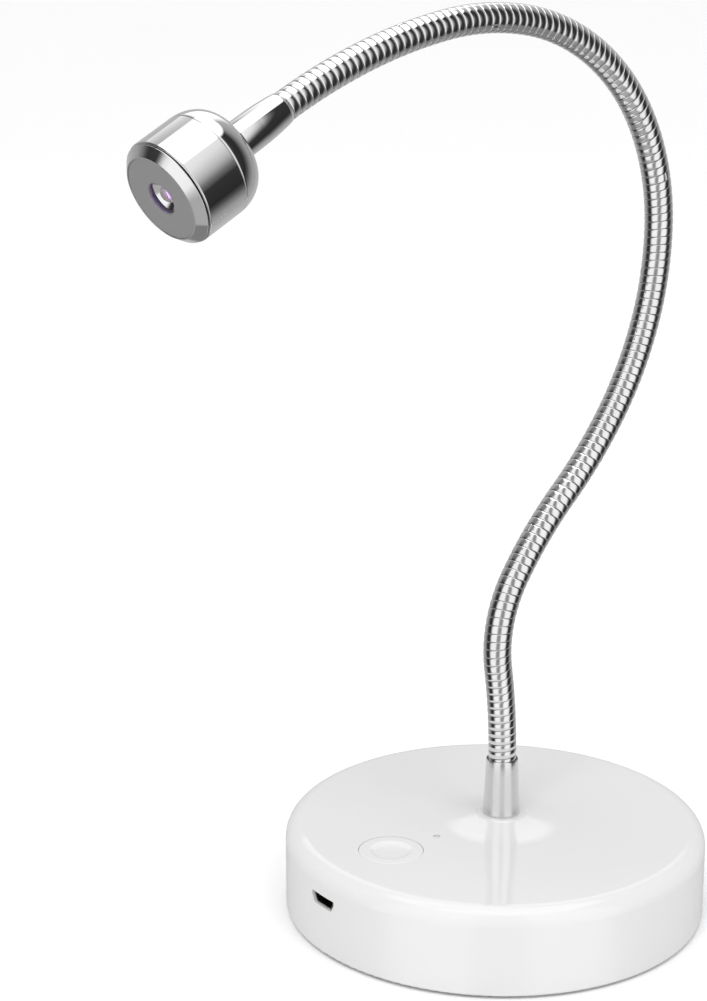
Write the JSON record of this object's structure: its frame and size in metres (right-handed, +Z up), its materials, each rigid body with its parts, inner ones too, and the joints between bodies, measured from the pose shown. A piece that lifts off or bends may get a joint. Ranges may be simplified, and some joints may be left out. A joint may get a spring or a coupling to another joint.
{
  "type": "uv curing lamp",
  "caption": "Small lamp on a round weighted base: a gooseneck bends in every direction and holds a drum head with one ultraviolet diode; push button and USB inlet on the base.",
  "frame": {"origin": "centre of the underside of the non-slip pad", "axes": "+Z up, -Y the front with the button and the USB socket, the head hangs over the front"},
  "size_m": [0.105, 0.1532, 0.2242],
  "materials": {
    "shell": "gloss white ABS",
    "cover": "fine matt white ABS",
    "pad": "matt silicone",
    "button": "gloss white ABS",
    "lens": "clear light pipe",
    "ballast": "zinc plated",
    "screw": "zinc plated",
    "board": "green solder mask",
    "chip": "black epoxy",
    "connector": "natural nylon",
    "switch": "black",
    "led": "diode body",
    "cell": "laminated foil pouch",
    "wire": "PVC insulation",
    "socket": "nickel plated",
    "tongue": "black",
    "ferrule": "satin turned",
    "neck": "polished chrome plate",
    "head": "polished chrome plate",
    "face": "grey anodised, fine satin",
    "dome": "clear silicone lens",
    "package": "ceramic carrier",
    "star": "white coated metal-core board",
    "reflector": "bright reflector",
    "sink": "as turned"
  },
  "bodies": {
    "base": {"base_shell": "shell", "base_cover": "cover", "base_pad": "pad", "ballast_plate": "ballast", "cover_screws": "screw", "control_board": "board", "board_screws": "screw", "driver_chip": "chip", "charge_chip": "chip", "power_inductor": "chip", "battery_connector": "connector", "lamp_connector": "connector", "battery_cell": "cell", "battery_leads": "wire", "lamp_leads": "wire", "tact_switch": "switch", "indicator_lens": "lens", "indicator_led": "led", "usb_socket_shell": "socket", "usb_socket_tongue": "tongue", "lower_ferrule": "ferrule", "neck_washer": "screw", "neck_nut": "screw", "neck_segment_01": "neck", "neck_lead_01": "wire"},
    "power_button": {"power_button": "button", "switch_plunger": "switch"},
    "neck_02": {"neck_segment_02": "neck", "neck_lead_02": "wire"},
    "neck_03": {"neck_segment_03": "neck", "neck_lead_03": "wire"},
    "neck_04": {"neck_segment_04": "neck", "neck_lead_04": "wire"},
    "neck_05": {"neck_segment_05": "neck", "neck_lead_05": "wire"},
    "neck_06": {"neck_segment_06": "neck", "neck_lead_06": "wire"},
    "neck_07": {"neck_segment_07": "neck", "neck_lead_07": "wire"},
    "neck_08": {"neck_segment_08": "neck", "neck_lead_08": "wire"},
    "neck_09": {"neck_segment_09": "neck", "neck_lead_09": "wire"},
    "neck_10": {"neck_segment_10": "neck", "neck_lead_10": "wire"},
    "neck_11": {"neck_segment_11": "neck", "neck_lead_11": "wire"},
    "head": {"neck_segment_12": "neck", "neck_lead_12": "wire", "upper_ferrule": "head", "ferrule_nut": "screw", "head_rear_cap": "head", "head_barrel": "head", "front_bezel": "head", "front_plate": "face", "led_star_board": "star", "led_package": "package", "led_dome": "dome", "led_reflector": "reflector", "heat_sink": "sink"}
  },
  "joints": [
    {"name": "neck_bend_01", "type": "hinge", "parent": "base", "child": "neck_02", "pos_m": [0, 0.00022, 0.06241], "axis": [1, 0, 0], "range_deg": [-25, 25]},
    {"name": "neck_sway_02", "type": "hinge", "parent": "neck_02", "child": "neck_03", "pos_m": [0, 0.00491, 0.08546], "axis": [0, 0.8526, -0.5225], "range_deg": [-25, 25]},
    {"name": "neck_bend_03", "type": "hinge", "parent": "neck_03", "child": "neck_04", "pos_m": [0, 0.01974, 0.10426], "axis": [-1, 0, 0], "range_deg": [-25, 25]},
    {"name": "neck_sway_04", "type": "hinge", "parent": "neck_04", "child": "neck_05", "pos_m": [0, 0.03473, 0.12294], "axis": [0, -0.8434, 0.5373], "range_deg": [-25, 25]},
    {"name": "neck_bend_05", "type": "hinge", "parent": "neck_05", "child": "neck_06", "pos_m": [0, 0.04465, 0.14471], "axis": [1, 0, 0], "range_deg": [-25, 25]},
    {"name": "neck_sway_06", "type": "hinge", "parent": "neck_06", "child": "neck_07", "pos_m": [0, 0.04787, 0.1684], "axis": [0, 0.9998, 0.0175], "range_deg": [-25, 25]},
    {"name": "neck_bend_07", "type": "hinge", "parent": "neck_07", "child": "neck_08", "pos_m": [0, 0.04241, 0.19158], "axis": [-1, 0, 0], "range_deg": [-25, 25]},
    {"name": "neck_sway_08", "type": "hinge", "parent": "neck_08", "child": "neck_09", "pos_m": [0, 0.02737, 0.20999], "axis": [0, -0.6018, -0.7986], "range_deg": [-25, 25]},
    {"name": "neck_bend_09", "type": "hinge", "parent": "neck_09", "child": "neck_10", "pos_m": [0, 0.0056, 0.21957], "axis": [1, 0, 0], "range_deg": [-25, 25]},
    {"name": "neck_sway_10", "type": "hinge", "parent": "neck_10", "child": "neck_11", "pos_m": [0, -0.01828, 0.21978], "axis": [0, -0.165, 0.9863], "range_deg": [-25, 25]},
    {"name": "neck_bend_11", "type": "hinge", "parent": "neck_11", "child": "head", "pos_m": [0.00042, -0.04151, 0.21388], "axis": [-0.9994, -0.0338, -0.0086], "range_deg": [-25, 25]},
    {"name": "power_button_press", "type": "slide", "parent": "base", "child": "power_button", "axis": [0, 0, -1], "range_m": [0, 0.0005], "stiffness_N_per_m": 400, "springref_m": -0.001}
  ]
}
